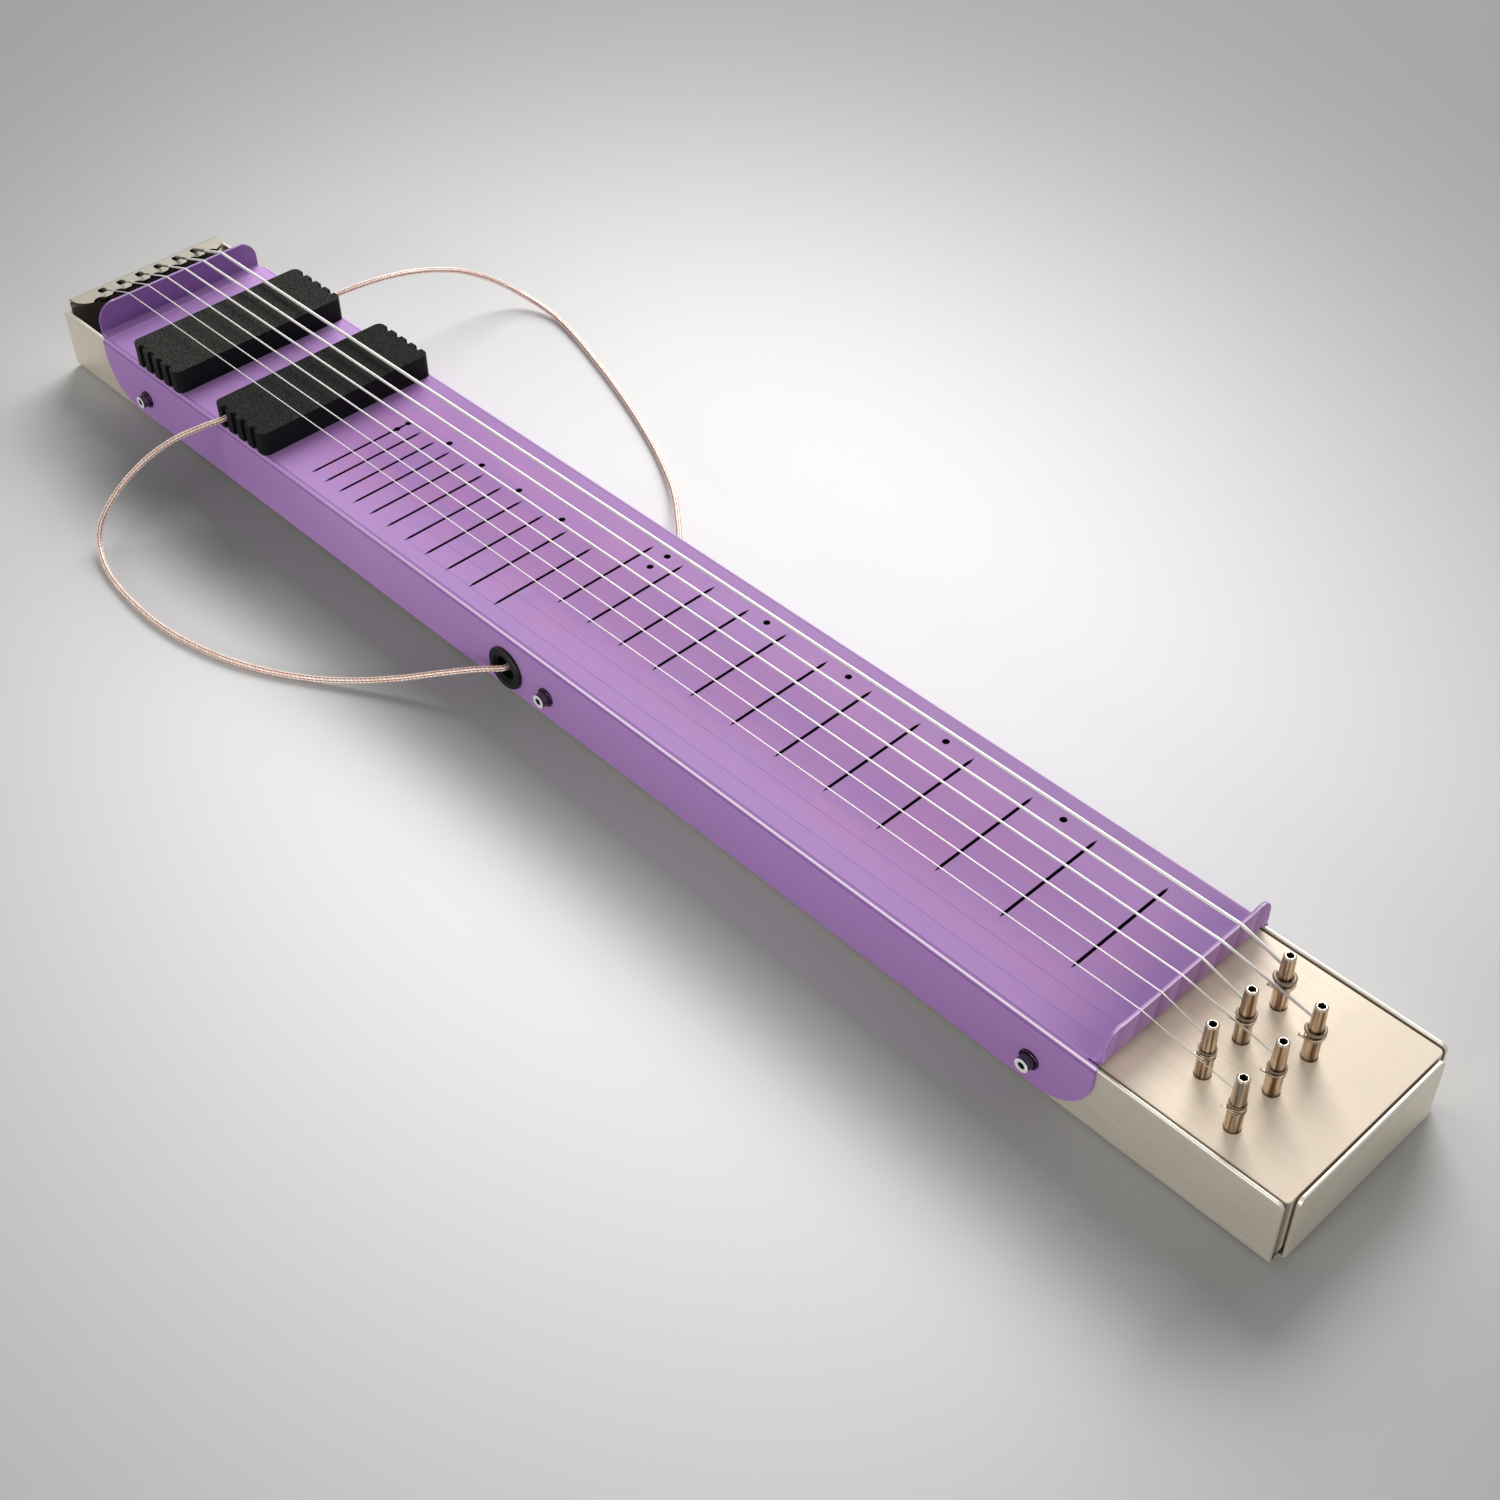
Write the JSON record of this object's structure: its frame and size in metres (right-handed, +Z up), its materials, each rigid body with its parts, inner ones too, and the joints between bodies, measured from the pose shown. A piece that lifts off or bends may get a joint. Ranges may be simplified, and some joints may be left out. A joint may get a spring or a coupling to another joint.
{
  "type": "lap steel guitar",
  "caption": "Electric lap steel guitar of folded sheet: steel tray, purple slotted cover with turned-up nut and bridge, pickups, strings, and tuning pins in a maple block.",
  "frame": {"origin": "centre of the instrument's footprint, on the surface that it rests on; the leads are left out of this centre", "axes": "+X along the strings from the tail to the head, +Y away from the player, from the thin strings to the thick ones, +Z up"},
  "size_m": [0.6744, 0.2601, 0.0528],
  "materials": {
    "tray_steel": "brushed nickel plate, satin",
    "purple_lacquer": "satin purple lacquer with bright worn folds",
    "maple": "pale maple, fine sanded, unfinished",
    "brass": "plain turned brass",
    "zinc_steel": "zinc plated",
    "screw_steel": "bright plated",
    "dark_washer": "dark polished",
    "black_rubber": "smooth matt black",
    "copper_braid": "braided rose-copper sleeve",
    "pickup_plastic": "black, fine pebbled top and smooth sides",
    "base_plastic": "black moulded",
    "bobbin_plastic": "cream moulded",
    "copper_wire": "lacquered copper wire, wound",
    "magnet_ceramic": "ground ferrite",
    "string_steel": "bright drawn wire",
    "nickel": "warm polished nickel",
    "jack_chrome": "bright plated"
  },
  "bodies": {
    "guitar_body": {"tray": "tray_steel", "cover": "purple_lacquer", "pin_block": "maple", "block_inserts": "brass", "clinch_nuts": "zinc_steel", "cover_screws_near": "screw_steel", "cover_screws_far": "screw_steel", "cover_washers": "dark_washer", "grommet_near": "black_rubber", "grommet_far": "black_rubber", "lead_near": "copper_braid", "lead_far": "copper_braid", "inner_leads": "copper_braid", "bridge_pickup_cover": "pickup_plastic", "bridge_pickup_base": "base_plastic", "bridge_pickup_bobbin": "bobbin_plastic", "bridge_pickup_coil": "copper_wire", "bridge_pickup_magnet": "magnet_ceramic", "neck_pickup_cover": "pickup_plastic", "neck_pickup_base": "base_plastic", "neck_pickup_bobbin": "bobbin_plastic", "neck_pickup_coil": "copper_wire", "neck_pickup_magnet": "magnet_ceramic", "pickup_screws": "screw_steel", "string_1": "string_steel", "string_2": "string_steel", "string_3": "string_steel", "string_4": "string_steel", "string_5": "string_steel", "string_6": "string_steel", "ball_ends": "brass", "jack_body": "jack_chrome", "jack_nut": "jack_chrome", "jack_washer": "jack_chrome"},
    "pin_1": {"tuning_pin_1": "nickel", "winding_1": "string_steel"},
    "pin_2": {"tuning_pin_2": "nickel", "winding_2": "string_steel"},
    "pin_3": {"tuning_pin_3": "nickel", "winding_3": "string_steel"},
    "pin_4": {"tuning_pin_4": "nickel", "winding_4": "string_steel"},
    "pin_5": {"tuning_pin_5": "nickel", "winding_5": "string_steel"},
    "pin_6": {"tuning_pin_6": "nickel", "winding_6": "string_steel"}
  },
  "joints": [
    {"name": "tuning_pin_1_turn", "type": "hinge", "parent": "guitar_body", "child": "pin_1", "pos_m": [0.30675, -0.0294, 0.0293], "axis": [0, 0, 1], "continuous": true},
    {"name": "tuning_pin_2_turn", "type": "hinge", "parent": "guitar_body", "child": "pin_2", "pos_m": [0.28825, -0.0198, 0.0293], "axis": [0, 0, 1], "continuous": true},
    {"name": "tuning_pin_3_turn", "type": "hinge", "parent": "guitar_body", "child": "pin_3", "pos_m": [0.30675, -0.0102, 0.0293], "axis": [0, 0, 1], "continuous": true},
    {"name": "tuning_pin_4_turn", "type": "hinge", "parent": "guitar_body", "child": "pin_4", "pos_m": [0.28825, -0.0006, 0.0293], "axis": [0, 0, 1], "continuous": true},
    {"name": "tuning_pin_5_turn", "type": "hinge", "parent": "guitar_body", "child": "pin_5", "pos_m": [0.30675, 0.009, 0.0293], "axis": [0, 0, 1], "continuous": true},
    {"name": "tuning_pin_6_turn", "type": "hinge", "parent": "guitar_body", "child": "pin_6", "pos_m": [0.28825, 0.0186, 0.0293], "axis": [0, 0, 1], "continuous": true}
  ]
}
